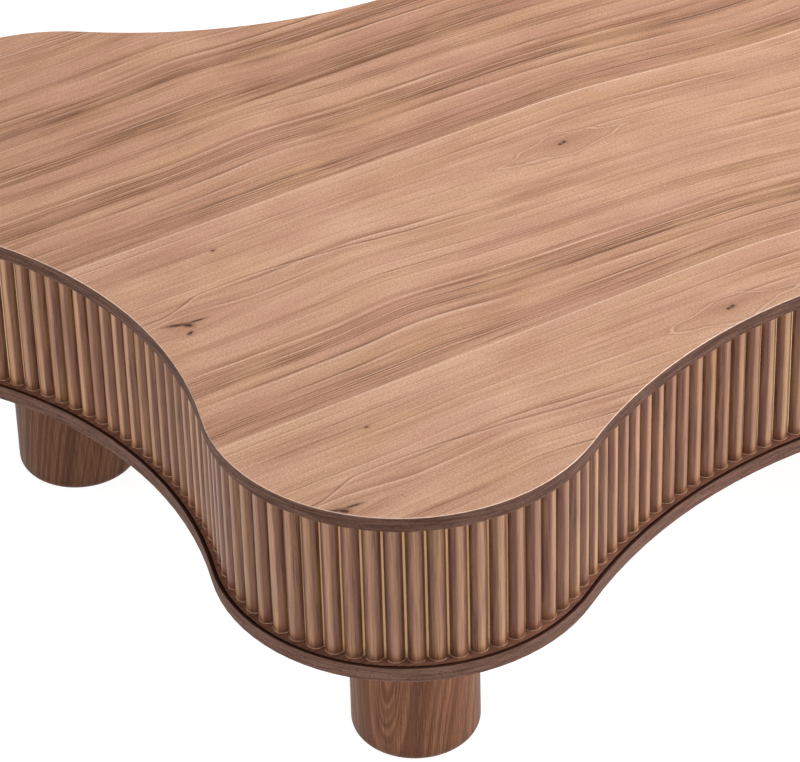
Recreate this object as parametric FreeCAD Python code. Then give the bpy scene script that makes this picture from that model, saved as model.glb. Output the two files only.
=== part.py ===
import FreeCAD, Part
import math
import os

# A low coffee table: a four-lobed wavy box with half-round reeds all round, on four fat round legs.
# Millimetres. The origin is on the floor, under the middle of the table. X runs along the grain.

# Outline of the table seen from above
lobe_radius = 175.0
front_left_x = -352.0
front_left_y = -234.0
front_right_x = 425.0
front_right_y = -281.0
long_side_radius = 500.0
short_side_radius = 400.0

# Heights
top_height = 381.0
box_height = 177.0
panel_thickness = 15.0

# Veneers and edge bands of the two panels
face_veneer_thickness = 0.8
under_veneer_thickness = 0.6
edge_band_thickness = 2.0
edge_softening = 0.6
face_arris = 0.4

# Ledge round the foot of the reeds
ledge_veneer_thickness = 0.6
ledge_drop = 0.4
shadow_groove_width = 2.0
shadow_groove_depth = 2.0

# Reeds and the bent boards they are glued to. The pitch is set out along the back of the boards,
# and a gap is the strip of board that shows between two reeds.
reed_pitch = 17.2
lobe_reed_gap = 1.9
side_reed_gap = 2.4
reed_depth = 7.0
reed_crest_inset = 7.6
facing_thickness = 8.0

# Rings and studs that hold the facing in shape
ring_width = 45.0
ring_thickness = 18.0
stud_length = 60.0
stud_width = 30.0

# Ribs inside the box
rib_thickness = 18.0
cross_rib_offset = 205.0
rib_slot_clearance = 0.3

# Legs and pads
leg_diameter = 117.0
leg_inset = 5.0
leg_foot_rounding = 9.0
leg_head_softening = 1.0
pad_diameter = 90.0
pad_thickness = 3.0

# Leg fixings
block_side = 110.0
block_thickness = 25.0
bolt_diameter = 10.0
bolt_depth_in_leg = 60.0
bolt_end_gap = 4.0
bolt_hole_clearance = 1.0
nut_barrel_diameter = 13.0
nut_barrel_length = 16.0
nut_flange_diameter = 32.0
nut_flange_thickness = 1.6
nut_hole_clearance = 0.2

# Screws that hold the base panel to the lower ring
screw_head_diameter = 8.0
screw_head_height = 3.2
screw_shank_diameter = 4.0
screw_length = 28.0
screw_hole_clearance = 0.3
screw_sink = 0.3
screw_place_shares = (0.25, 0.75)

# Levels worked out from the heights
top_under = top_height - panel_thickness
base_under = top_height - box_height
base_top = base_under + panel_thickness
ledge_level = base_top - ledge_drop
base_core_top = ledge_level - ledge_veneer_thickness
band_inset = edge_band_thickness
facing_inset = reed_crest_inset + reed_depth
ring_inset = facing_inset + facing_thickness
ring_inner_inset = ring_inset + ring_width

os.makedirs("parts", exist_ok=True)


def point(x, y, z=0.0):
    return FreeCAD.Vector(x, y, z)


def heading(origin, target):
    return math.atan2(target.y - origin.y, target.x - origin.x)


def around(centre, radius, angle):
    return centre + point(radius * math.cos(angle), radius * math.sin(angle))


# The four lobe centres. Each one has its opposite through the middle of the table.
front_left = point(front_left_x, front_left_y)
front_right = point(front_right_x, front_right_y)
lobes = [
    ("front_left", front_left),
    ("front_right", front_right),
    ("back_right", -front_left),
    ("back_left", -front_right),
]
sides = [
    ("front", long_side_radius),
    ("right", short_side_radius),
    ("back", long_side_radius),
    ("left", short_side_radius),
]


# Each leg stands a little nearer the middle of the table than its lobe's centre.
leg_places = [(name, lobe * (1 - leg_inset / lobe.Length)) for name, lobe in lobes]


def hollow_centre(first, second, radius):
    # Centre of the circle outside the table that touches two neighbouring lobes.
    middle = (first + second) * 0.5
    half = (second - first) * 0.5
    reach = math.sqrt((lobe_radius + radius) ** 2 - half.Length ** 2)
    outward = point(half.y, -half.x).normalize()
    return middle + outward * reach


hollows = [
    hollow_centre(lobes[i][1], lobes[(i + 1) % len(lobes)][1], sides[i][1])
    for i in range(len(lobes))
]


def unwind(start, end):
    # The end angle brought to less than one turn after the start angle.
    return start + (end - start) % (2 * math.pi)


# Eight bends in order round the table: lobe, side, lobe, side and so on.
# Each is (name, centre, radius, growth with inset, start angle, end angle).
bends = []
for i, (lobe_name, lobe) in enumerate(lobes):
    start = heading(lobe, hollows[i - 1])
    end = unwind(start, heading(lobe, hollows[i]))
    bends.append(("lobe_" + lobe_name, lobe, lobe_radius, -1, start, end))
    side_name, side_radius = sides[i]
    following = lobes[(i + 1) % len(lobes)][1]
    start = heading(hollows[i], lobe)
    end = start - (start - heading(hollows[i], following)) % (2 * math.pi)
    bends.append(("side_" + side_name, hollows[i], side_radius, 1, start, end))


def outline(inset, level):
    edges = []
    for name, centre, radius, growth, start, end in bends:
        r = radius + growth * inset
        three = [around(centre, r, a) for a in (start, (start + end) / 2, end)]
        edges.append(Part.Arc(*[p + point(0, 0, level) for p in three]).toShape())
    return Part.Wire(edges)


def plate(inset, bottom, top):
    return Part.Face(outline(inset, bottom)).extrude(point(0, 0, top - bottom))


def ring(outer_inset, inner_inset, bottom, top):
    return plate(outer_inset, bottom, top).cut(plate(inner_inset, bottom, top))


def disc(centre, diameter, bottom, top):
    return Part.makeCylinder(diameter / 2, top - bottom, centre + point(0, 0, bottom))


def block(centre, length, width, bottom, top, angle=0.0):
    box = Part.makeBox(length, width, top - bottom, point(-length / 2, -width / 2, bottom))
    box.rotate(point(0, 0), point(0, 0, 1), math.degrees(angle))
    box.translate(centre)
    return box


def cut_all(body, tools):
    for tool in tools:
        body = body.cut(tool)
    return body


def soften(solid, level, size):
    # Round the outer edges that lie flat at one level.
    rim = plate(0, level - panel_thickness, level + panel_thickness)
    walls = [f for f in rim.Faces if abs(f.normalAt(0, 0).z) < 0.5]
    wall = Part.Shell(walls)
    picked = []
    for edge in solid.Edges:
        box = edge.BoundBox
        if abs(box.ZMin - level) > size / 10 or abs(box.ZMax - level) > size / 10:
            continue
        middle = edge.valueAt((edge.FirstParameter + edge.LastParameter) / 2)
        if wall.distToShape(Part.Vertex(middle))[0] < size / 10:
            picked.append(edge)
    return solid.makeFillet(size, picked)


def save(shape, name):
    shape.exportStep("parts/" + name + ".step")


def bolt_holes(bottom, top):
    width = bolt_diameter + bolt_hole_clearance
    return [disc(place, width, bottom, top) for name, place in leg_places]


# Screw places: a few along every bend, over the middle of the lower ring
screw_inset = ring_inset + ring_width / 2
screw_places = []
for name, centre, radius, growth, start, end in bends:
    for share in screw_place_shares:
        angle = start + (end - start) * share
        screw_places.append(around(centre, radius + growth * screw_inset, angle))


def screw(centre, clearance):
    # A countersunk screw pointing up; the same shape with clearance is its hole.
    head = (screw_head_diameter + clearance) / 2
    shank = (screw_shank_diameter + clearance) / 2
    face = base_under if clearance else base_under + screw_sink
    neck = base_under + screw_sink + screw_head_height
    tip = base_under + screw_sink + screw_length + clearance
    corners = [(0, face), (head, face), (head, base_under + screw_sink), (shank, neck),
               (shank, tip - shank), (0, tip)]
    if not clearance:
        corners.pop(1)
    profile = Part.makePolygon([point(x, 0, z) for x, z in corners + corners[:1]])
    solid = Part.Face(profile).revolve(point(0, 0), point(0, 0, 1), 360)
    solid.translate(centre)
    return solid


screw_holes = [screw(place, screw_hole_clearance) for place in screw_places]


# Top panel
def build_top_panel():
    face = plate(0, top_height - face_veneer_thickness, top_height)
    save(soften(face, top_height, face_arris), "top_face_veneer")
    core_top = top_height - face_veneer_thickness
    core_bottom = top_under + under_veneer_thickness
    save(plate(band_inset, core_bottom, core_top), "top_panel_core")
    band = ring(0, band_inset, top_under, core_top)
    save(soften(band, top_under, edge_softening), "top_edge_band")
    save(plate(band_inset, top_under, core_bottom), "top_under_veneer")


# Base panel, with the shadow groove just inside its edge band
def build_base_panel():
    core_bottom = base_under + under_veneer_thickness
    groove_inset = band_inset + shadow_groove_width
    groove_floor = base_core_top - shadow_groove_depth
    core = plate(band_inset, core_bottom, base_core_top)
    core = core.cut(ring(band_inset, groove_inset, groove_floor, base_core_top))
    core = cut_all(core, bolt_holes(core_bottom, base_core_top) + screw_holes)
    save(core, "base_panel_core")
    band = ring(0, band_inset, base_under, base_top)
    band = soften(band, base_top, edge_softening)
    save(soften(band, base_under, edge_softening), "base_edge_band")
    under = plate(band_inset, base_under, core_bottom)
    save(cut_all(under, bolt_holes(base_under, core_bottom) + screw_holes), "base_under_veneer")
    ledge = plate(groove_inset, base_core_top, ledge_level)
    save(cut_all(ledge, bolt_holes(base_core_top, ledge_level) + screw_holes), "base_ledge_veneer")


# Facing boards and their reeds
def facing(centre, radius, growth, start, end):
    # A board bent along one lobe or side.
    inner_radius = radius + growth * facing_thickness
    middle = (start + end) / 2
    lift = point(0, 0, ledge_level)
    front = [around(centre, radius, a) + lift for a in (start, middle, end)]
    back = [around(centre, inner_radius, a) + lift for a in (end, middle, start)]
    edges = [
        Part.Arc(*front).toShape(),
        Part.makeLine(front[-1], back[0]),
        Part.Arc(*back).toShape(),
        Part.makeLine(back[-1], front[0]),
    ]
    return Part.Face(Part.Wire(edges)).extrude(point(0, 0, top_under - ledge_level))


def reed(centre, radius, growth, angle, half_angle):
    # Half-round in section; its back follows the bend of the board.
    back = [around(centre, radius, angle + half_angle * k) for k in (-1, 0, 1)]
    crest = around(centre, radius - growth * reed_depth, angle)
    lift = point(0, 0, ledge_level)
    foot = [p + lift for p in back]
    edges = [
        Part.Arc(*foot).toShape(),
        Part.Arc(foot[-1], crest + lift, foot[0]).toShape(),
    ]
    return Part.Face(Part.Wire(edges)).extrude(point(0, 0, top_under - ledge_level))


def build_facing():
    for name, centre, radius, growth, start, end in bends:
        face_radius = radius + growth * facing_inset
        save(facing(centre, face_radius, growth, start, end), "facing_" + name)
        length = (radius + growth * ring_inset) * abs(end - start)
        count = max(1, round(length / reed_pitch))
        step = (end - start) / count
        gap = lobe_reed_gap if growth < 0 else side_reed_gap
        half_angle = (abs(step) - gap / face_radius) / 2
        solids = [
            reed(centre, face_radius, growth, start + step * (k + 0.5), half_angle)
            for k in range(count)
        ]
        save(Part.Compound(solids), "reeds_" + name)


def build_frame():
    lower_top = ledge_level + ring_thickness
    upper_bottom = top_under - ring_thickness
    lower = ring(ring_inset, ring_inner_inset, ledge_level, lower_top)
    save(cut_all(lower, screw_holes), "lower_ring")
    save(ring(ring_inset, ring_inner_inset, upper_bottom, top_under), "upper_ring")
    studs = []
    for name, centre, radius, growth, start, end in bends:
        middle = (start + end) / 2
        place = around(centre, radius + growth * screw_inset, middle)
        studs.append(block(place, stud_width, stud_length, lower_top, upper_bottom, middle))
    save(Part.Compound(studs), "ring_studs")


# Ribs: one along the table and two across, halved into each other
def build_ribs():
    hollow = plate(ring_inner_inset, ledge_level, top_under)
    size = 2 * (abs(front_right_x) + lobe_radius)
    middle_level = (ledge_level + top_under) / 2
    slot = rib_thickness + rib_slot_clearance
    origin = point(0, 0)
    places = [point(-cross_rib_offset, 0), point(cross_rib_offset, 0)]
    long_rib = block(origin, size, rib_thickness, ledge_level, top_under).common(hollow)
    slots = [block(p, slot, slot, middle_level, top_under) for p in places]
    save(cut_all(long_rib, slots), "long_rib")
    for name, place in zip(("left", "right"), places):
        rib = block(place, rib_thickness, size, ledge_level, top_under).common(hollow)
        rib = rib.cut(block(place, slot, slot, ledge_level, middle_level))
        save(rib, "cross_rib_" + name)


# Legs, pads and fixings
def build_legs():
    radius = leg_diameter / 2
    bolt_foot = base_under - bolt_depth_in_leg
    for name, place in leg_places:
        leg = disc(place, leg_diameter, pad_thickness, base_under)
        low = [e for e in leg.Edges if e.BoundBox.ZMax < pad_thickness + leg_foot_rounding
               and e.BoundBox.XLength > radius]
        leg = leg.makeFillet(leg_foot_rounding, low)
        high = [e for e in leg.Edges if e.BoundBox.ZMin > base_under - leg_foot_rounding
                and e.BoundBox.XLength > radius]
        leg = leg.makeChamfer(leg_head_softening, high)
        leg = leg.cut(disc(place, bolt_diameter, bolt_foot, base_under))
        save(leg, "leg_" + name)
    pads = [disc(place, pad_diameter, 0, pad_thickness) for name, place in leg_places]
    save(Part.Compound(pads), "leg_pads")


def build_fixings():
    block_top = ledge_level + block_thickness
    barrel_bottom = block_top - nut_barrel_length
    bolt_foot = base_under - bolt_depth_in_leg
    bolt_tip = block_top - bolt_end_gap
    blocks, nuts, bolts = [], [], []
    for name, place in leg_places:
        wood = block(place, block_side, block_side, ledge_level, block_top)
        wood = cut_all(wood, [
            disc(place, bolt_diameter + bolt_hole_clearance, ledge_level, barrel_bottom),
            disc(place, nut_barrel_diameter + nut_hole_clearance, barrel_bottom, block_top),
        ])
        blocks.append(wood)
        barrel = disc(place, nut_barrel_diameter, barrel_bottom, block_top)
        flange = disc(place, nut_flange_diameter, block_top, block_top + nut_flange_thickness)
        bore = disc(place, bolt_diameter, barrel_bottom, block_top + nut_flange_thickness)
        nuts.append(barrel.fuse(flange).cut(bore).removeSplitter())
        bolts.append(disc(place, bolt_diameter, bolt_foot, bolt_tip))
    save(Part.Compound(blocks), "leg_blocks")
    save(Part.Compound(nuts), "tee_nuts")
    save(Part.Compound(bolts), "leg_bolts")
    save(Part.Compound([screw(place, 0) for place in screw_places]), "base_screws")


build_top_panel()
build_base_panel()
build_facing()
build_frame()
build_ribs()
build_legs()
build_fixings()
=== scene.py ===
# %% [markdown]
# # A coffee table in walnut
# The table is a low box with a wavy outline on four fat round legs. A veneered panel closes it above and another
# one below, and the wall between them is a row of upright half-round reeds glued to bent boards. The solids come
# ready made, in metres. This file gives every piece its finish, adds the fine bead of glue at the reeds' feet,
# and sets up the floor, the lamps and the camera.

# %% Load the table
import math
from collections import namedtuple

import bpy
from mathutils import Matrix, Vector


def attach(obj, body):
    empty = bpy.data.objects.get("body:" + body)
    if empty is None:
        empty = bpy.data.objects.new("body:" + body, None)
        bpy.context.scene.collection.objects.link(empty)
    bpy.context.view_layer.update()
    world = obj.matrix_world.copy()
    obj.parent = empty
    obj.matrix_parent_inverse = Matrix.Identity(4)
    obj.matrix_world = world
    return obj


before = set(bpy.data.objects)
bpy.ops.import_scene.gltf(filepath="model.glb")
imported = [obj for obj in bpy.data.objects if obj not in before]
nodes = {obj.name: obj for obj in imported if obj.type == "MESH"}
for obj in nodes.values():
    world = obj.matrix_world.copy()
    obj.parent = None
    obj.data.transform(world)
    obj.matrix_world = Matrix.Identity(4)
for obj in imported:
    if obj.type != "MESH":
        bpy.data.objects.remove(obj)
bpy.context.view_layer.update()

# %% [markdown]
# ## The outline, again
# Reeds need to know where they stand: each one is sawn from its own stick, so each has its own tone and grain.
# A finish can only tell one reed from the next by its place, so the outline is set out here once more: four
# lobes joined by four hollow sides, all of them arcs. All lengths in the finishes are millimetres.

# %% Set out the bends
MM = 0.001
lobe_radius = 175
lobe_centres = [Vector((-352, -234)), Vector((425, -281)), Vector((352, 234)), Vector((-425, 281))]
lobe_names = ["front_left", "front_right", "back_right", "back_left"]
side_radii = [500, 400, 500, 400]
side_names = ["front", "right", "back", "left"]
reed_pitch = 17.2
lobe_reed_gap = 1.9
side_reed_gap = 2.4
reed_depth = 7
reed_crest_inset = 7.6
facing_thickness = 8
top_level = 381
top_under = 366
face_veneer_thickness = 0.8
base_level = 219
base_under = 204
ledge_level = 218.6
facing_inset = reed_crest_inset + reed_depth
whole_turn = 2 * math.pi

Bend = namedtuple("Bend", "name centre radius growth start sweep reeds")


def heading(origin, target):
    return math.atan2(target.y - origin.y, target.x - origin.x)


def hollow_centre(first, second, radius):
    half = (second - first) / 2
    outward = Vector((half.y, -half.x)).normalized()
    return first + half + outward * math.sqrt((lobe_radius + radius) ** 2 - half.length ** 2)


def bend(name, centre, radius, growth, first, last):
    start = heading(centre, first)
    sweep = (heading(centre, last) - start) % whole_turn
    if growth > 0:
        sweep -= whole_turn
    back_radius = radius + growth * (facing_inset + facing_thickness)
    return Bend(name, centre, radius, growth, start, sweep, round(back_radius * abs(sweep) / reed_pitch))


hollows = [hollow_centre(lobe_centres[i], lobe_centres[(i + 1) % 4], side_radii[i]) for i in range(4)]
bends = []
for i in range(4):
    bends.append(bend("lobe_" + lobe_names[i], lobe_centres[i], lobe_radius, -1, hollows[i - 1], hollows[i]))
    bends.append(bend("side_" + side_names[i], hollows[i], side_radii[i], 1,
                      lobe_centres[i], lobe_centres[(i + 1) % 4]))
print("reeds on each bend:", {b.name: b.reeds for b in bends})

# %% [markdown]
# ## Sums on a surface
# A finish is a net of nodes, and most of the net is arithmetic. It reads best as arithmetic, so one small class
# wraps a socket and lets Python's signs add the Math nodes. Colours never go through them, because a Math node
# would turn a colour grey: they are mixed with Mix nodes instead.

# %% A socket that can be added and multiplied
class Spread:
    """A number, colour or direction that changes over a surface."""

    def __init__(self, net, socket):
        self.net = net
        self.socket = socket

    def out(self, key):
        return Spread(self.net, self.socket.node.outputs[key])

    def __add__(self, other):
        return self.net.maths("ADD", self, other)

    def __sub__(self, other):
        return self.net.maths("SUBTRACT", self, other)

    def __rsub__(self, other):
        return self.net.maths("SUBTRACT", other, self)

    def __mul__(self, other):
        return self.net.maths("MULTIPLY", self, other)

    def __truediv__(self, other):
        return self.net.maths("DIVIDE", self, other)

    def __gt__(self, other):
        return self.net.maths("GREATER_THAN", self, other)

    __radd__ = __add__
    __rmul__ = __mul__


# %% [markdown]
# ## One way to add any node
# Everything else a net needs comes from one method. It takes the node's kind, its settings, which are set first
# because some of them change the sockets, and what goes into its sockets. Materials are such nets, and so is the
# light of the room, which comes much later.

# %% A net of nodes
class Net:
    """The nodes of a material or of the world."""

    def __init__(self, tree):
        self.tree = tree
        self.tree.nodes.clear()

    def node(self, kind, settings=None, sockets=None, output=0):
        made = self.tree.nodes.new("ShaderNode" + kind)
        for name, value in (settings or {}).items():
            if name == "stops":
                self.set_stops(made.color_ramp, value)
            else:
                setattr(made, name, value)
        for key, value in (sockets or {}).items():
            if isinstance(value, Spread):
                self.tree.links.new(value.socket, made.inputs[key])
            else:
                made.inputs[key].default_value = value
        return Spread(self, made.outputs[output])

    def set_stops(self, ramp, stops):
        while len(ramp.elements) < len(stops):
            ramp.elements.new(1.0)
        for element, (place, value) in zip(ramp.elements, stops):
            element.position = place
            element.color = value if isinstance(value, tuple) else (value, value, value, 1.0)

    def maths(self, operation, *values):
        return self.node("Math", {"operation": operation}, dict(enumerate(values)))

    def end_in(self, kind, surface):
        end = self.tree.nodes.new("ShaderNode" + kind)
        self.tree.links.new(surface.socket, end.inputs[0])


# %% [markdown]
# ## The words of a finish
# The same few nodes come back in every finish: a place on the piece, a noise, a soft step, a mix of two colours.
# They could be called by their kinds each time, but short methods make a recipe read like a maker's notes. A
# finish works in millimetres, so that a pore or a growth line is written at its real size.

# %% A finish
def tone(red, green, blue):
    """A colour as a paint chart gives it, turned into the light that it sends back."""
    def light(v):
        v /= 255
        return v / 12.92 if v <= 0.04045 else ((v + 0.055) / 1.055) ** 2.4
    return (light(red), light(green), light(blue), 1.0)


class Finish(Net):
    """A material made of nodes, worked out in millimetres."""

    def __init__(self, name):
        self.material = bpy.data.materials.new(name)
        self.material.use_nodes = True
        super().__init__(self.material.node_tree)

    def place(self):
        metres = self.node("TexCoord", output="Object")
        here = self.node("VectorMath", {"operation": "SCALE"}, {0: metres, "Scale": 1 / MM})
        split = self.node("SeparateXYZ", sockets={0: here})
        return split, split.out(1), split.out(2)

    def at(self, x, y, z=0.0):
        return self.node("CombineXYZ", sockets={0: x, 1: y, 2: z})

    def noise(self, x, y, z=0.0, detail=2.0, rough=0.5):
        return self.node("TexNoise", sockets={"Vector": self.at(x, y, z), "Scale": 1.0,
                                              "Detail": detail, "Roughness": rough})

    def step(self, value, low, high):
        """0 up to low, 1 from high on, and a soft slope between; low may be the larger."""
        return self.node("MapRange", {"interpolation_type": "SMOOTHSTEP"},
                         {"Value": value, "From Min": low, "From Max": high})

    def bell(self, value, middle, width):
        """1 at the middle, falling to nothing about two widths away."""
        off = (value - middle) / width
        return self.maths("EXPONENT", off * off * -1.0)

    def mix(self, share, first, second, blend="MIX"):
        return self.node("Mix", {"data_type": "RGBA", "blend_type": blend}, {0: share, 6: first, 7: second}, 2)

    def shade(self, colour, by):
        """The colour, darker where by is under 1 and lighter where it is over."""
        return self.node("VectorMath", {"operation": "SCALE"}, {0: colour, "Scale": by})

    def ramp(self, value, stops):
        return self.node("ValToRGB", {"stops": stops}, {0: value})

    def relief(self, height, depth):
        """The slight unevenness that a height between 0 and 1 gives, depth millimetres deep."""
        return self.node("Bump", sockets={"Height": height, "Distance": depth * MM, "Strength": 1.0})

    def done(self, colour, roughness, normal=None, **fixed):
        sockets = {"Base Color": colour, "Roughness": roughness}
        if normal is not None:
            sockets["Normal"] = normal
        sockets.update({name.replace("_", " "): value for name, value in fixed.items()})
        return self.shown(self.node("BsdfPrincipled", sockets=sockets))

    def shown(self, surface):
        self.end_in("OutputMaterial", surface)
        return self.material


def dress(material, *names):
    for name in names:
        slots = nodes[name].data.materials
        for i in range(len(slots)):
            slots[i] = material
        if not len(slots):
            slots.append(material)
    print(material.name, "goes on", len(names), "nodes")


# %% [markdown]
# ## The top: leaves of walnut veneer
# The face of the top is knife-cut walnut, thin leaves laid one beside the other with the grain along the table.
# Neighbouring leaves come off the same log, so each repeats the last one's figure, slid a little along. The
# figure could be drawn as one long noise over the table, but then no leaf would match the next. Here a place is
# first turned into a place on its leaf, and the figure is worked out there.
# On a leaf the lines run level at the joints and sag between them towards the right, with a soft crease
# where the cut crossed a bend in the trunk.

# %% A place on a leaf
leaf_width = 293.7
leaf_slide = 18
first_joint = 73
narrow_leaf_joint = 220
joint_sag = 30


def on_leaf(f, x, y):
    """How far along and across its leaf a place of the top is, and which leaf it is on."""
    level = y + joint_sag * f.step(x, -20, 260) * (1 - 0.5 * f.step(y, 80, 200))
    beyond = level > narrow_leaf_joint
    down = (first_joint + leaf_width) - level + beyond * (leaf_width / 2)
    leaf = f.maths("FLOOR", down / leaf_width)
    across = down - leaf * leaf_width
    along = x + leaf_slide * (leaf - 1)
    return along, across, leaf - 2 * beyond


print("a leaf is", leaf_width, "mm wide and slid", leaf_slide, "mm from the last")

# %% [markdown]
# ## Knots
# Three knots show on every leaf: a pin knot, an eye-shaped one with a pale diamond round it, and a torn one near
# the left end. Growth lines part round a knot, so each knot pushes the lines away before they are drawn.

# %% The knots of a leaf
Knot = namedtuple("Knot", "along across length width push")
eye_knot = Knot(-37, 69, 62, 17, 6)
torn_knot = Knot(-466, 127, 52, 24, 12)
pin_knot = Knot(-389, 42, 14, 5, 1.5)
knots = [eye_knot, torn_knot, pin_knot]


def round_knot(f, along, across, knot):
    """1 in the middle of a knot, falling off over its length and width."""
    a = (along - knot.along) / knot.length
    b = (across - knot.across) / knot.width
    return f.maths("EXPONENT", (a * a + b * b) * -1.0)


def part_lines(f, along, across):
    for knot in knots:
        side = f.maths("TANH", (across - knot.across) / knot.width * 2)
        across = across - side * round_knot(f, along, across, knot) * knot.push
    return across


print("knots on a leaf:", len(knots))

# %% [markdown]
# ## Growth bands
# Across a leaf, quiet pale wood changes with bunches of dark late wood. The bands' places and strengths are set
# down once, as a ramp across the leaf, and noise stretched along the grain frays them into streaks.
# Between them run growth lines, each dark on one side and sharp and pale on the other, that come and go along
# the leaf. One bold line of that kind rises over the torn knot and sinks away slowly to its right.

# %% Bands and growth lines
dark_bands = [
    (0.00, 0.10), (0.03, 0.06), (0.07, 0.22), (0.11, 0.30), (0.25, 0.08), (0.325, 0.12), (0.34, 0.50),
    (0.355, 0.12), (0.39, 0.38), (0.41, 0.12), (0.453, 0.38), (0.47, 0.12), (0.535, 0.15), (0.545, 0.52),
    (0.565, 0.50), (0.585, 0.12), (0.645, 0.14), (0.657, 0.50), (0.672, 0.22), (0.695, 0.85), (0.71, 0.45),
    (0.735, 0.95), (0.755, 1.00), (0.775, 0.25), (0.80, 0.50), (0.82, 0.16), (0.865, 0.40), (0.91, 0.62),
    (0.945, 0.85), (0.975, 0.60), (0.992, 0.75), (1.0, 0.15),
]
bold_across = 109
bold_rise = 15
bold_fall = 30


def growth_lines(f, along, line, spacing, seed):
    """Late wood that darkens slowly and ends in a sharp pale line, over and over across a leaf."""
    turn = line / spacing + 2.2 * f.noise(along / 2600, line / (3.2 * spacing), seed, detail=1)
    number = f.maths("FLOOR", turn + 0.5)
    off = turn - number
    strength = f.step(f.noise(along / 130, number * 2.7, seed + 5), 0.36, 0.66)
    late = f.step(off, -0.26, -0.04) * f.step(off, 0.0, -0.04)
    edge = f.step(off, -0.02, 0.02) * f.step(off, 0.10, 0.04)
    return late * strength, edge * strength


def bold_line(f, along, across, ripple):
    """The line over the torn knot: it rises on the left and falls twice as far on the long right."""
    path = bold_across - bold_rise * f.step(along, -480, -425) + bold_fall * f.step(along, -400, -90)
    over = across - path + 1.5 * ripple
    reach = f.step(along, -540, -480) * f.step(along, -60, -220)
    return reach * f.bell(over, -1.6, 1.1), reach * f.bell(over, 0.4, 0.9)


print("steps in the bands across a leaf:", len(dark_bands))

# %% [markdown]
# ## The whole figure
# The lines of a leaf aren't straight. They sag, crease, wave and ripple, from the widest bend down to the finest,
# and all of that is taken off the place across the leaf before any line is drawn. Bands, threads, growth lines and
# the fine hair of the wood then add up to how dark the wood is.

# %% The figure of a leaf
sag_depth = 17
sag_run = 290
crease_depth = 5.5
crease_along = -285
growth_spacing = 15
fine_growth_spacing = 4.2


def leaf_figure(f, along, across, leaf):
    """The dark wood, the pale edges, the fine grain and the clouding of a place on a leaf."""
    between_joints = f.step(across, 0, 130) * f.step(across, leaf_width, leaf_width - 50)
    lean = f.maths("MAXIMUM", f.maths("MINIMUM", (along + sag_run) / sag_run, 1.0), 0.0)
    sag = sag_depth * lean * between_joints * (0.35 + 0.65 * (leaf > 0.5))
    crease = crease_depth * f.bell(along, crease_along, 60) * between_joints
    wave = 6 * (f.noise(along / 330, across / 120, leaf * 0.11) - 0.5) * between_joints
    ripple = 2.6 * (f.noise(along / 140, across / 15, leaf * 0.3) - 0.5)
    ripple = ripple + 1.8 * (f.noise(along / 40, across / 9, leaf * 0.3 + 6) - 0.5)
    line = part_lines(f, along, across - sag + crease + wave) + ripple
    bands = f.ramp(line / leaf_width, dark_bands)
    fray = f.noise(along / 160, line / 5, leaf * 0.2 + 7, detail=3)
    thread = f.noise(along / 170, line / 1.5, leaf * 0.2 + 3, detail=3, rough=0.6)
    hair = f.noise(along / 30, line / 0.7, leaf + 5, detail=3)
    late, edge = growth_lines(f, along, line, growth_spacing, leaf * 0.15 + 11)
    fine_late, fine_edge = growth_lines(f, along, line, fine_growth_spacing, leaf * 0.15 + 17)
    dark = bands * (0.15 + 0.75 * fray) + f.step(thread, 0.46, 0.66) * (0.13 + 0.8 * bands)
    dark = dark + late * (0.34 + 0.3 * bands) + fine_late * (0.1 + 0.4 * bands)
    dark = dark + (hair - 0.5) * 0.8 + (fray - 0.5) * 0.36
    bold_late, bold_edge = bold_line(f, along, across, ripple)
    dark = dark + 0.7 * bold_late
    pale = edge + 0.35 * fine_edge + 0.9 * f.bell(across, 1.2, 1.1) + 0.8 * bold_edge
    cloud = f.noise(along / 90, line / 24, leaf * 0.4 + 2, detail=3)
    return line, dark, pale, cloud


# %% [markdown]
# ## The colours of the top
# How dark the wood is picks its colour on a ramp, from pale tan to brown. On a real leaf the hue drifts too, so
# broad clouds push it a little towards rose or straw, and the pale ridges are laid over it.

# %% Colour the leaves
pale_tan = tone(223, 177, 147)
warm_tan = tone(203, 155, 125)
brown_tan = tone(174, 126, 98)
late_wood = tone(128, 86, 62)
rose_tint = tone(198, 146, 124)
straw_tint = tone(207, 161, 122)
ridge_pale = tone(238, 203, 177)
leaf_tones = [(0.0, pale_tan), (0.32, warm_tan), (0.62, brown_tan), (1.0, late_wood)]


def leaf_colour(f, along, line, leaf, dark, pale):
    colour = f.ramp(dark * 0.76 + 0.10, leaf_tones)
    blush = f.noise(along / 120, line / 34, leaf + 31)
    colour = f.mix(0.4 * f.step(blush, 0.46, 0.68), colour, rose_tint)
    colour = f.mix(0.4 * f.step(blush, 0.46, 0.28), colour, straw_tint)
    return f.mix(0.6 * pale, colour, ridge_pale)


print("tones from pale to dark:", len(leaf_tones))

# %% [markdown]
# ## The colours of the knots
# Round the eye knot lies a diamond of browner wood with a pale line between two dark ones. Every knot has a brown
# halo, and the hearts are short torn marks, nearly black, each in a stain with a soft edge. Noise frays them:
# a clean ellipse would look like a drop of ink.

# %% Colour the knots
knot_brown = tone(64, 28, 18)
diamond_length = 67
diamond_width = 20
diamond_offset = 3
Heart = namedtuple("Heart", "along across length width lean")
hearts = [Heart(-39.4, 69.6, 1.9, 1.2, 0.0), Heart(-34.6, 68.6, 2.2, 1.5, -0.1), Heart(-470, 123, 9.0, 1.5, 0.3),
          Heart(-462, 128, 3.6, 2.4, 0.5), Heart(-452, 126, 7.0, 1.0, 0.1), Heart(-466, 139, 2.8, 1.6, -0.3),
          Heart(-389, 42, 1.9, 0.8, 0.0)]


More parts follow.
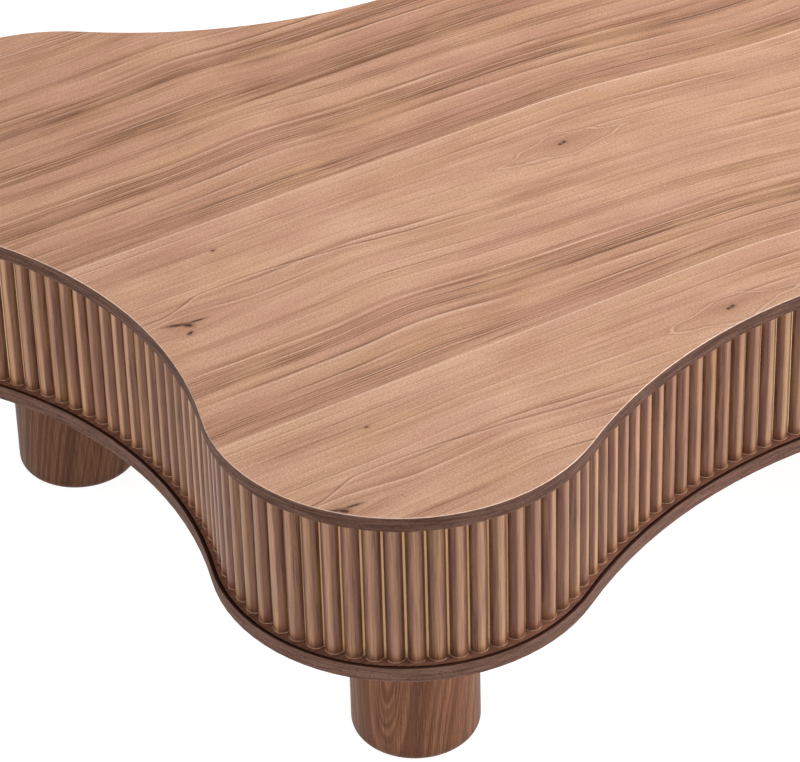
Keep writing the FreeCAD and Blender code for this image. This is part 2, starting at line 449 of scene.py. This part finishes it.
def knot_heart(f, along, across, heart, length_share=1.0, width_share=1.0):
    """The dark torn heart of a knot, leaning across the grain."""
    ragged = 2.2 * (f.noise(along / 2.2, across / 1.0, 3.0, detail=3) - 0.5)
    a = (along - heart.along) / (heart.length * length_share)
    b = (across - heart.across - heart.lean * (along - heart.along)) / (heart.width * width_share)
    return f.step(a * a + b * b + ragged, 1.5, 0.3)


def knots_over(f, colour, along, across, leaf):
    beside = f.maths("ABSOLUTE", along - eye_knot.along) / diamond_length
    above = f.maths("ABSOLUTE", across - eye_knot.across - diamond_offset) / diamond_width
    diamond = beside + above + 0.7 * (f.noise(along / 34, across / 14, leaf, detail=1) - 0.5)
    colour = f.mix(0.22 * f.step(diamond, 1.0, 0.7), colour, brown_tan)
    colour = f.mix(0.45 * f.bell(diamond, 1.0, 0.05), colour, ridge_pale)
    colour = f.mix(0.6 * f.bell(diamond, 0.9, 0.06), colour, brown_tan)
    colour = f.mix(0.45 * f.bell(diamond, 1.1, 0.06), colour, brown_tan)
    for knot in knots:
        halo = round_knot(f, along, across, Knot(*knot[:2], knot.length * 0.4, knot.width * 0.5, 0))
        colour = f.mix(0.6 * halo, colour, brown_tan)
    for heart in hearts:
        colour = f.mix(0.5 * knot_heart(f, along, across, heart, 1.7, 2.2), colour, late_wood)
        colour = f.mix(0.95 * knot_heart(f, along, across, heart), colour, knot_brown)
    return colour


print("marks in the knots of a leaf:", len(hearts))

# %% [markdown]
# ## The top's finish
# The leaves' colours and the knots come together here, painted a little browner and darker towards the back:
# painted shade. Walnut is open-pored: short dark pores run with the grain everywhere. The lacquer is thin and
# satin, a little rougher in the dark wood, and the pores and growth lines stand as a relief of hundredths of a
# millimetre. The arris is painted pale, a painted highlight, and polished by hands and cloths.

# %% Finish the top
arris_highlight_pale = tone(250, 226, 206)


def top_finish():
    f = Finish("walnut_top")
    x, y, z = f.place()
    along, across, leaf = on_leaf(f, x, y)
    line, dark, pale, cloud = leaf_figure(f, along, across, leaf)
    crease_glow = f.bell(along, crease_along + 17, 26)
    # the step in y darkens the back of the top: painted shade
    dark = dark - 0.12 * crease_glow + 0.75 * (0.5 - cloud) + 0.16 * f.step(y, -60, 300)
    colour = leaf_colour(f, along, line, leaf, dark, pale)
    colour = knots_over(f, colour, along, across, leaf)
    pores = f.step(f.noise(x / 4.0, y / 0.42, 3.0, detail=2), 0.56, 0.72)
    colour = f.mix(0.42 * pores, colour, late_wood)
    sparkle = f.noise(x / 2.0, y / 1.3, 9.0, detail=2, rough=0.7)
    colour = f.shade(colour, 0.42 + 1.16 * sparkle)
    # the pale line along the arris is a painted highlight
    arris = f.step(z, top_level - 0.05, top_level - 0.2)
    colour = f.mix(0.6 * arris, colour, arris_highlight_pale)
    height = 0.5 + 0.3 * pale - 0.3 * pores + 0.4 * (sparkle - 0.5)
    return f.done(colour, 0.5 + 0.08 * dark - 0.2 * arris, f.relief(height, 0.2), Specular_IOR_Level=0.25,
                  Coat_Weight=0.9 * arris, Coat_Roughness=0.2)


dress(top_finish(), "top_face_veneer")

# %% [markdown]
# ## Edge bands
# Both panels are edged with a strip of walnut, dark and cool beside the top, with its grain running round the
# table. A band that follows every bend would need a length measured round the outline. Noise that is stretched
# both ways in the level plane and tight in height gives the same level grain wherever the band turns.
# The arrises are painted paler: a painted highlight. The groove in the base is painted nearly black as painted
# shade, and that colour runs over the band's upper side, up to its front arris. A piece without that painted
# shade has it set to begin above the table.

# %% Finish the edge bands
no_groove_shade = 400
band_pore = tone(54, 34, 27)
band_arris_highlight = tone(196, 150, 124)
groove_shade_dark = tone(62, 33, 24)


def band_finish(name, light, dark, top, bottom, groove_shade_from, seed):
    f = Finish(name)
    x, y, z = f.place()
    drift = z + 2.2 * (f.noise(x / 55, y / 55, seed) - 0.5)
    streak = f.noise(x / 34, y / 34, drift / 2.0 + seed, detail=3)
    thread = f.noise(x / 9, y / 9, drift / 0.55 + seed, detail=3)
    pores = f.step(f.noise(x / 3, y / 3, drift / 0.5 + seed, detail=1), 0.52, 0.66)
    patch = f.noise(x / 130, y / 130, seed + 4)
    share = f.step(0.62 * streak + 0.38 * thread, 0.34, 0.66)
    colour = f.mix(share, light, dark)
    colour = f.shade(colour, 0.82 + 0.36 * patch)
    colour = f.mix(0.65 * pores, colour, band_pore)
    colour = f.shade(colour, 0.45 + 1.1 * thread)
    # paler along both arrises: painted highlight
    arris_highlight = f.step(z, top - 1.0, top) + f.step(z, bottom + 0.8, bottom)
    colour = f.mix(0.35 * arris_highlight, colour, band_arris_highlight)
    # nearly black from the groove's level up: painted shade of the groove
    colour = f.mix(f.step(z, groove_shade_from, groove_shade_from + 0.4), colour, groove_shade_dark)
    return f.done(colour, 0.58 + 0.12 * share, f.relief(0.5 - 0.4 * pores + 0.2 * thread, 0.05),
                  Specular_IOR_Level=0.12)


dress(band_finish("walnut_top_band", tone(122, 90, 77), tone(78, 53, 44),
                  top_level - face_veneer_thickness, top_under, no_groove_shade, 2.0), "top_edge_band")
dress(band_finish("walnut_base_band", tone(129, 96, 83), tone(89, 63, 53),
                  base_level, base_under, base_level - 0.7, 8.0), "base_edge_band")

# %% [markdown]
# ## A place on a reed
# Each reed could have a material of its own, but that would be 214 of them. One material for each bend does if it
# can tell the reeds apart. The angle round the middle of the bend, counted in reeds, gives the number of the stick
# and the place across it, and the distance from that middle tells how far a place stands out from the board.
# The angles are wrapped well before the first reed, so that the count never jumps within a bend.

# %% A place on a reed
wrap_before = 0.5


def on_reed(f, b, x, y):
    """The number of the reed that a place is on, how far across it lies and how far it stands out."""
    dx, dy = x - b.centre.x, y - b.centre.y
    turned = (f.maths("ARCTAN2", dy, dx) - b.start) * math.copysign(1.0, b.sweep)
    turned = f.maths("WRAP", turned, whole_turn - wrap_before, -wrap_before)
    count = turned * (b.reeds / abs(b.sweep))
    number = f.maths("FLOOR", count)
    spot = (count - number - 0.5) * reed_pitch
    reach = f.maths("SQRT", dx * dx + dy * dy)
    stand = (reach - (b.radius + b.growth * facing_inset)) * (-b.growth / reed_depth)
    return number, spot, stand


print("reeds in all:", sum(b.reeds for b in bends))

# %% [markdown]
# ## Reeds
# Each reed is a half-round stick, sawn with the grain upright. Sticks from one board differ: some are olive, some
# rosy, some plain brown. A reed's number picks its tones and slides its grain, so no two reeds are alike.
# Painted shade darkens and reddens the flanks, most of all in the corner beside the board, at the reed's foot and
# under the top, and a painted highlight makes the crest paler, most of all on the hollow sides.

# %% Finish the reeds
reed_tan = tone(202, 145, 106)
reed_rosy = tone(160, 102, 88)
reed_olive = tone(196, 148, 86)
reed_brown = tone(150, 92, 72)
reed_dark = tone(86, 48, 36)
reed_flank_shade = tone(150, 84, 62)
reed_crest_highlight = tone(196, 163, 130)
lobe_lights = (0.44, 0.44)
hollow_lights = (0.45, 0.60)


def reed_finish(b):
    f = Finish("walnut_" + b.name)
    x, y, z = f.place()
    number, spot, stand = on_reed(f, b, x, y)
    pick = f.node("TexWhiteNoise", {"noise_dimensions": "1D"}, {"W": number + b.radius + b.centre.x}, "Color")
    picks = f.node("SeparateXYZ", sockets={0: pick})
    slide = picks * 900 + number * 31
    upright = z + slide
    bowed = spot + 2.4 * (f.noise(slide / 40, z / 75, 1.0) - 0.5)
    broad = f.noise(bowed / 2.8, upright / 90, number * 0.7, detail=2)
    mid = f.noise(bowed / 0.9, upright / 42, number * 0.7 + 5, detail=3)
    pores = f.step(f.noise(spot / 0.4, upright / 6, number, detail=1), 0.60, 0.74)
    colour = f.mix(f.step(broad, 0.36, 0.62), reed_tan, reed_rosy)
    olive = f.noise(bowed / 2.2, upright / 70, number * 0.7 + 9)
    colour = f.mix((0.3 + 0.5 * picks.out(1)) * f.step(olive, 0.42, 0.62), colour, reed_olive)
    colour = f.mix(f.step(picks.out(2), 0.4, 1.0) * 0.45, colour, reed_brown)
    colour = f.mix(0.75 * f.step(mid, 0.48, 0.70), colour, reed_dark)
    colour = f.mix(0.5 * pores, colour, reed_dark)
    # crest marks the painted highlight; corner, foot and head mark painted shade
    crest = f.step(stand, 0.84, 1.0) * (0.5 + 0.5 * picks)
    corner = f.step(stand, 0.45, 0.0)
    foot = f.step(z, ledge_level + 12, ledge_level)
    head = f.step(z, top_under - 4, top_under)
    # flanks darkened and reddened as painted shade, crest paled as a painted highlight
    colour = f.mix(0.30 * (1 - crest), colour, reed_flank_shade)
    colour = f.mix(0.38 * crest * (1 - foot), colour, reed_crest_highlight)
    # the hollow sides get a stronger painted highlight on the crest than the lobes
    flank_light, crest_light = lobe_lights if b.growth < 0 else hollow_lights
    by = (flank_light + crest_light * crest) * (1 - 0.35 * corner)
    colour = f.shade(colour, by * (1 - 0.45 * foot * foot) * (1 - 0.25 * head))
    height = 0.5 + 0.3 * (mid - 0.5) - 0.4 * pores
    return f.done(colour, 0.34 + 0.14 * mid, f.relief(height, 0.05),
                  Specular_IOR_Level=0.38, Coat_Weight=0.12, Coat_Roughness=0.28)


for b in bends:
    dress(reed_finish(b), "reeds_" + b.name)

# %% [markdown]
# ## The boards behind the reeds
# Between two reeds a narrow strip of the bent board shows. It is paler than the reeds and its grain is upright
# too, so it draws a fine light line from top to foot. On the hollow sides the strips lie deeper between the
# reeds and get a lighter copy of the colour: painted light for the deep gaps. Near the foot they are painted
# darker: painted shade.

# %% Finish the facing boards
facing_foot_shade = tone(120, 84, 62)


def facing_finish(name, light, dark):
    f = Finish(name)
    x, y, z = f.place()
    grain = f.noise(x / 1.1, y / 1.1, z / 60, detail=3)
    patch = f.noise(x / 40, y / 40, z / 120 + 6)
    colour = f.mix(f.step(grain, 0.3, 0.72), light, dark)
    colour = f.shade(colour, 0.92 + 0.12 * patch)
    # darker towards the foot: painted shade
    foot = f.step(z, ledge_level + 12, ledge_level + 1)
    colour = f.mix(0.65 * foot, colour, facing_foot_shade)
    return f.done(colour, 0.5 + 0.1 * grain, f.relief(grain, 0.05), Specular_IOR_Level=0.35)


dress(facing_finish("pale_facing_lobes", tone(212, 170, 128), tone(190, 146, 104)),
      *["facing_" + b.name for b in bends if b.growth < 0])
# the hollow sides' copy is painted lighter: painted light
dress(facing_finish("pale_facing_sides", tone(255, 226, 182), tone(250, 208, 158)),
      *["facing_" + b.name for b in bends if b.growth > 0])

# %% [markdown]
# ## The ledge
# The reeds stand on a narrow ledge, veneered in walnut, beside the groove and its painted shade. Dust and wax
# settle there, so it is the dullest surface of the table.

# %% Finish the ledge
ledge_light = tone(156, 106, 84)
ledge_dark = tone(106, 66, 51)
ledge_dust = tone(150, 122, 104)


def ledge_finish():
    f = Finish("dark_ledge")
    x, y, _ = f.place()
    streak = f.noise(x / 60, y / 2.6, 4.0, detail=3)
    dust = f.noise(x / 9, y / 9, 2.0, detail=3)
    colour = f.mix(f.step(streak, 0.3, 0.7), ledge_light, ledge_dark)
    colour = f.mix(0.12 * dust, colour, ledge_dust)
    return f.done(colour, 0.55 + 0.2 * dust, f.relief(streak, 0.04), Specular_IOR_Level=0.3)


dress(ledge_finish(), "base_ledge_veneer")

# %% [markdown]
# ## Legs
# A leg is a short walnut drum with the grain upright: on one side the growth lines run straight and close, on
# the other they close into tall loops. Wood is a solid, so its figure is worked out inside the drum, as rings
# round a leaning heart that comes in through the side half-way up, and the surface just cuts them.
# Each leg is painted a little darker than the one before it, round from the front left leg, the palest: painted
# shade. Near the floor every leg is painted darker as well: painted shade.

# %% Finish the legs
leg_places = {"leg_front_left": (-347.84, -231.23), "leg_front_right": (420.83, -278.24),
              "leg_back_right": (347.84, 231.23), "leg_back_left": (-420.83, 278.24)}
leg_light = tone(170, 118, 88)
leg_dark = tone(130, 84, 61)
leg_thread = tone(80, 46, 33)
leg_pore = tone(66, 38, 28)
heart_distance = 75
heart_lean = 0.15
first_turn = 0.55
turn_between_legs = 1.7
shade_painted_by_leg = 0.12


def leg_finish(name, place, turn, leg_painted_shade):
    f = Finish("walnut_" + name)
    x, y, z = f.place()
    dx, dy = x - place[0], y - place[1]
    u = dx * math.cos(turn) + dy * math.sin(turn)
    v = dy * math.cos(turn) - dx * math.sin(turn)
    heart_u = u + heart_distance - heart_lean * z + 5 * (f.noise(u / 60, v / 60, z / 120) - 0.5)
    heart_v = v * 0.85 + 0.04 * z
    bulge = 5 * (f.noise(u / 30, v / 30, z / 140 + turn) - 0.5)
    ring = f.maths("SQRT", heart_u * heart_u + heart_v * heart_v) + bulge
    bands = f.noise(ring / 2.4, turn + 1.0, z / 900, detail=3)
    thread = f.noise(dx / 0.62, dy / 0.62, z / 50 + turn, detail=3)
    pores = f.step(f.noise(dx / 0.45, dy / 0.45, z / 7 + turn, detail=1), 0.58, 0.72)
    patch = f.noise(dx / 45, dy / 45, z / 160 + turn)
    colour = f.mix(f.step(bands, 0.34, 0.64), leg_light, leg_dark)
    colour = f.mix(0.6 * f.step(thread, 0.46, 0.66), colour, leg_thread)
    colour = f.mix(0.5 * pores, colour, leg_pore)
    # darker for each leg in turn: painted shade
    colour = f.shade(colour, (0.57 + 0.22 * patch) * (1 - leg_painted_shade))
    # darker near the floor: painted shade
    foot = f.step(z, 26, 4)
    colour = f.shade(colour, 1 - 0.2 * foot)
    height = 0.5 + 0.3 * (thread - 0.5) - 0.4 * pores
    return f.done(colour, 0.46 + 0.1 * bands, f.relief(height, 0.06), Specular_IOR_Level=0.15)


for i, (name, place) in enumerate(leg_places.items()):
    dress(leg_finish(name, place, first_turn + turn_between_legs * i, shade_painted_by_leg * i), name)

# %% [markdown]
# ## What lies inside
# The panels are fibreboard between veneers, and the frame that holds the boards in shape is birch plywood. They
# hardly show, but whoever takes the table apart sees them, so they get real finishes as well: specks and pressed
# fibres in the board, bright and dark plies on the cut edges of the plywood. The groove in the base reaches down
# to the board, and the board is painted nearly black there: painted shade, as in the groove.

# %% Finish the boards and the frame
fibre_pale, fibre_brown, groove_shade_on_board = tone(196, 166, 130), tone(160, 128, 94), tone(54, 28, 20)
ply_bright, ply_dark, ply_grain = tone(222, 190, 148), tone(186, 146, 104), tone(176, 138, 98)
groove_level = 215.5
ply_thickness = 1.4


def board_finish(name, groove_shade_from):
    f = Finish(name)
    x, y, z = f.place()
    fibre = f.noise(x / 1.6, y / 1.6, z / 1.2, detail=4, rough=0.7)
    cloud = f.noise(x / 30, y / 30, z / 10)
    colour = f.mix(f.step(fibre, 0.3, 0.7), fibre_pale, fibre_brown)
    colour = f.shade(colour, 0.9 + 0.2 * cloud)
    # nearly black from the groove's floor up: painted shade
    colour = f.mix(0.97 * f.step(z, groove_shade_from - 0.5, groove_shade_from), colour, groove_shade_on_board)
    return f.done(colour, 0.75 + 0.1 * fibre, f.relief(fibre, 0.08), Specular_IOR_Level=0.2)


def plywood_finish():
    f = Finish("birch_plywood")
    x, y, z = f.place()
    ply = f.maths("PINGPONG", z + 0.3 * f.noise(x / 25, y / 25, z / 4), ply_thickness)
    grain = f.noise(x / 40, y / 1.2, z / 2, detail=3)
    colour = f.mix(f.step(ply, 0.5, 0.9), ply_bright, ply_dark)
    colour = f.mix(0.4 * f.step(grain, 0.4, 0.75), colour, ply_grain)
    return f.done(colour, 0.6 + 0.15 * grain, f.relief(grain, 0.08), Specular_IOR_Level=0.25)


dress(board_finish("fibreboard", no_groove_shade), "top_panel_core")
dress(board_finish("fibreboard_with_stained_groove", groove_level), "base_panel_core")
dress(plywood_finish(), "upper_ring", "lower_ring", "ring_studs", "long_rib", "cross_rib_left", "cross_rib_right",
      "leg_blocks")

# %% [markdown]
# ## The veneer below
# A panel that is veneered on one side only would warp, so both have a plainer walnut underneath. It has no knots
# and no matched leaves: streaks that wander a little, and open pores, are enough for wood that is seen by those
# who lie on the floor.

# %% Finish the under veneers
under_pale, under_brown, under_pore = tone(186, 146, 114), tone(142, 104, 78), tone(96, 66, 50)


def under_finish():
    f = Finish("plain_under_veneer")
    x, y, _ = f.place()
    bent = y + 9 * (f.noise(x / 260, y / 90, 5.0) - 0.5)
    streak = f.noise(x / 190, bent / 6.5, 1.0, detail=4)
    pores = f.step(f.noise(x / 6, y / 0.45, 2.0), 0.58, 0.72)
    colour = f.mix(f.step(streak, 0.32, 0.7), under_pale, under_brown)
    colour = f.mix(0.35 * pores, colour, under_pore)
    return f.done(colour, 0.56 + 0.1 * streak, f.relief(0.6 * streak - 0.4 * pores, 0.05), Specular_IOR_Level=0.3)


dress(under_finish(), "top_under_veneer", "base_under_veneer")

# %% [markdown]
# ## Steel and felt
# The screws, the nuts and the leg bolts are zinc-plated steel: bright, with fine turning marks and a faint
# yellow passivation here and there. The pads are pressed felt, fibres every way and no shine at all.

# %% Finish the fixings and the pads
zinc_grey, zinc_yellow = tone(196, 197, 196), tone(206, 196, 158)
felt_pale, felt_deep = tone(112, 98, 88), tone(66, 56, 50)


def zinc_finish():
    f = Finish("zinc_plate")
    x, y, z = f.place()
    turning = f.noise(x / 6, y / 6, z / 0.25, detail=2)
    bloom = f.noise(x / 5, y / 5, z / 5, detail=3)
    colour = f.mix(f.step(bloom, 0.45, 0.8), zinc_grey, zinc_yellow)
    return f.done(colour, 0.28 + 0.2 * turning, f.relief(turning, 0.02), Metallic=1.0)


def felt_finish():
    f = Finish("pressed_felt")
    x, y, z = f.place()
    fibre = f.noise(x / 0.7, y / 0.7, z / 0.5, detail=4, rough=0.7)
    tuft = f.noise(x / 4, y / 4, z / 3, detail=2)
    colour = f.mix(f.step(fibre, 0.3, 0.7), felt_pale, felt_deep)
    colour = f.shade(colour, 0.85 + 0.3 * tuft)
    return f.done(colour, 0.92 + 0.08 * fibre, f.relief(fibre, 0.25), Specular_IOR_Level=0.1)


dress(zinc_finish(), "base_screws", "tee_nuts", "leg_bolts")
dress(felt_finish(), "leg_pads")

# %% [markdown]
# ## The bead at the reeds' feet
# Where the reeds meet the ledge, a fine pale bead of glue and lacquer closes the joint. It follows every foot and
# every strip of board between two feet, so it draws a scalloped line all round the table. A curve with a round
# section would do; a small mesh swept along the feet's outline keeps the sharp inner corners.

# %% Follow the feet
foot_steps = 10


def around(centre, radius, angle):
    return Vector((centre.x + radius * math.cos(angle), centre.y + radius * math.sin(angle)))


def reed_foot(b, angle):
    """Points round one reed's foot: the arc through its two edges and its crest."""
    face = b.radius + b.growth * facing_inset
    gap = lobe_reed_gap if b.growth < 0 else side_reed_gap
    half = (abs(b.sweep) / b.reeds - gap / face) / 2
    first, last = (around(b.centre, face, angle + side * half) for side in (-1, 1))
    crest = around(b.centre, face - b.growth * reed_depth, angle)
    middle = (first + last) / 2
    half_chord = (last - first).length / 2
    rise = (crest - middle).length
    radius = (half_chord ** 2 + rise ** 2) / (2 * rise)
    centre = crest + (middle - crest).normalized() * radius
    start, peak, end = (heading(centre, p) for p in (first, crest, last))
    to_peak = (peak - start + math.pi) % whole_turn - math.pi
    to_end = (end - peak + math.pi) % whole_turn - math.pi
    shares = [k / foot_steps for k in range(foot_steps + 1)]
    turns = [start + (to_peak + to_end) * s for s in shares]
    points = [around(centre, radius, a) for a in turns]
    return points if b.sweep > 0 else points[::-1]


def bead_path():
    path = []
    for b in bends:
        step = b.sweep / b.reeds
        for k in range(b.reeds):
            path += reed_foot(b, b.start + step * (k + 0.5))
    return path


feet_line = bead_path()
print("points along the bead:", len(feet_line))

# %% [markdown]
# ## Sweeping the bead
# At each point of the line a small ring of corners is set square to it, and each ring is joined to the next. The
# last ring joins the first, so the tube is closed and has no loose edge.

# %% Lay the bead
bead_radius = 0.5
bead_sides = 6
bead_rise = 0.2
bead_pale, bead_brown = tone(180, 140, 108), tone(132, 96, 72)


def link(thing):
    bpy.context.scene.collection.objects.link(thing)
    return thing


def sweep_round(path, level, name):
    """A closed tube along the path, its middle at that level."""
    verts, faces = [], []
    count = len(path)
    for i, p in enumerate(path):
        ahead = (path[(i + 1) % count] - path[i - 1]).normalized()
        out = Vector((ahead.y, -ahead.x))
        for k in range(bead_sides):
            a = whole_turn * k / bead_sides
            q = p + out * (bead_radius * math.cos(a))
            verts.append((q.x * MM, q.y * MM, (level + bead_radius * math.sin(a)) * MM))
            here, there = i * bead_sides, (i + 1) % count * bead_sides
            j = (k + 1) % bead_sides
            faces.append((here + k, there + k, there + j, here + j))
    mesh = bpy.data.meshes.new(name)
    mesh.from_pydata(verts, [], faces)
    mesh.polygons.foreach_set("use_smooth", [True] * len(faces))
    return link(bpy.data.objects.new(name, mesh))


def bead_finish():
    f = Finish("pale_bead")
    x, y, z = f.place()
    lump = f.noise(x / 2.5, y / 2.5, z, detail=2)
    colour = f.mix(f.step(lump, 0.3, 0.7), bead_pale, bead_brown)
    return f.done(colour, 0.35 + 0.2 * lump, f.relief(lump, 0.1), Specular_IOR_Level=0.5)


bead = sweep_round(feet_line, ledge_level + bead_rise, "foot_bead")
bead.data.materials.append(bead_finish())
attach(bead, "root")
print("corners of the bead:", len(bead.data.vertices))

# %% [markdown]
# ## Floor
# The floor is plain and pale. Seen by the camera it is white, with the table's soft shadow left on it: part of
# its light is its own, so the shadow stays faint, and part comes from the lamps, so the shadow is real.

# %% Lay the floor
floor_size = 40
white, grey, dark_grey = ((level, level, level, 1.0) for level in (1.0, 0.5, 0.3))
floor_glow = 0.92


def floor_finish():
    f = Finish("pale_floor")
    plain = f.node("BsdfDiffuse", sockets={"Color": grey})
    faint = f.node("BsdfDiffuse", sockets={"Color": dark_grey})
    glow = f.node("Emission", sockets={"Color": white, "Strength": floor_glow})
    ray = f.node("LightPath")
    seen = f.maths("MAXIMUM", ray, ray.out("Is Glossy Ray"))
    seen = f.maths("MAXIMUM", seen, ray.out("Is Transmission Ray"))
    bright = f.node("AddShader", sockets={0: faint, 1: glow})
    return f.shown(f.node("MixShader", sockets={0: seen, 1: plain, 2: bright}))


floor_mesh = bpy.data.meshes.new("floor")
half = floor_size / 2
floor_mesh.from_pydata([(-half, -half, 0), (half, -half, 0), (half, half, 0), (-half, half, 0)], [], [(0, 1, 2, 3)])
floor = link(bpy.data.objects.new("floor", floor_mesh))
floor_mesh.materials.append(floor_finish())
print("floor:", floor_size, "m wide")

# %% [markdown]
# ## Lamps
# A wide lit cloth hangs over the table for the top, and low lamps in front, on the right and on the left are for
# the reeds and the legs, set so that a colour on the top renders about as it is written. The low ones are suns,
# because a sun lights the floor evenly however far it runs, and their great width makes them as soft as the
# cloth boxes of a studio.

# %% Hang the lamps
sun_width = 24
suns = [("low_front", 1.9, -120, 12), ("low_right", 2.5, -30, 12), ("high_right", 0.4, 0, 38),
        ("low_left", 1.2, 150, 12)]


def towards(azimuth, elevation):
    a, e = math.radians(azimuth), math.radians(elevation)
    return Vector((math.cos(a) * math.cos(e), math.sin(a) * math.cos(e), math.sin(e)))


def sun(name, strength, azimuth, elevation):
    """A soft lamp far away, in the direction given in degrees."""
    light = bpy.data.lights.new(name, "SUN")
    light.energy = strength
    light.angle = math.radians(sun_width)
    lamp = link(bpy.data.objects.new(name, light))
    lamp.rotation_euler = towards(azimuth, elevation).to_track_quat("Z", "Y").to_euler()


def cloth_box(name, power, length, width, place, target):
    """A flat lit cloth of that size in metres, turned towards a point."""
    light = bpy.data.lights.new(name, "AREA")
    light.shape = "RECTANGLE"
    light.size, light.size_y = length, width
    light.energy = power
    lamp = link(bpy.data.objects.new(name, light))
    lamp.location = place
    lamp.rotation_euler = (Vector(place) - Vector(target)).to_track_quat("Z", "Y").to_euler()


for settings in suns:
    sun(*settings)
cloth_box("overhead", 14.5, 1.6, 1.4, (0.38, -0.08, 1.9), (0.2, -0.1, 0.4))
print("lamps:", [thing.name for thing in bpy.context.scene.objects if thing.type == "LIGHT"])

# %% [markdown]
# ## The room
# The room gives a little even light of its own. Glossy places mirror a brighter room than the one that lights the
# table, as if white cards stood round it, and to the camera the room is plain white. One world can be all three,
# because it can ask what kind of ray has come to it.

# %% Light the room
even_light = 0.1
mirrored_light = 0.6
backdrop_light = 1.0

world = bpy.data.worlds.new("even_room")
bpy.context.scene.world = world
world.use_nodes = True
room = Net(world.node_tree)
even, mirrored, backdrop = (room.node("Background", sockets={"Color": white, "Strength": strength})
                            for strength in (even_light, mirrored_light, backdrop_light))
ray = room.node("LightPath")
unseen = room.node("MixShader", sockets={0: ray.out("Is Glossy Ray"), 1: even, 2: mirrored})
room.end_in("OutputWorld", room.node("MixShader", sockets={0: ray, 1: unseen, 2: backdrop}))
print("nodes in the room's light:", len(room.tree.nodes))

# %% [markdown]
# ## Camera
# The camera stands in front of the table's left end and above it, far off with a long lens, and looks down
# on the front left lobe. Its place and turn were fitted to the outline of the top, the base and the legs.

# %% Set up the camera
camera_place = Vector((-1766.3, -2631.5, 2489.8))
camera_yaw, camera_dip, camera_roll = 59.54, 37.049, 1.631
focal_pixels, image_width, sensor_width = 4127.6, 800, 36

yaw, dip, roll = (math.radians(v) for v in (camera_yaw, camera_dip, camera_roll))
ahead = Vector((math.cos(yaw) * math.cos(dip), math.sin(yaw) * math.cos(dip), -math.sin(dip)))
level_right = Vector((math.sin(yaw), -math.cos(yaw), 0))
level_down = ahead.cross(level_right)
right = math.cos(roll) * level_right + math.sin(roll) * level_down
down = math.cos(roll) * level_down - math.sin(roll) * level_right

camera = bpy.data.cameras.new("camera")
camera.sensor_fit = "HORIZONTAL"
camera.sensor_width = sensor_width
camera.lens = focal_pixels * sensor_width / image_width
camera.clip_end = 100
viewer = link(bpy.data.objects.new("camera", camera))
turned = Matrix((right, -down, -ahead)).transposed().to_4x4()
viewer.matrix_world = Matrix.Translation(camera_place * MM) @ turned
bpy.context.scene.camera = viewer
bpy.context.scene.view_settings.view_transform = "Standard"
print("lens:", round(camera.lens, 2), "mm")
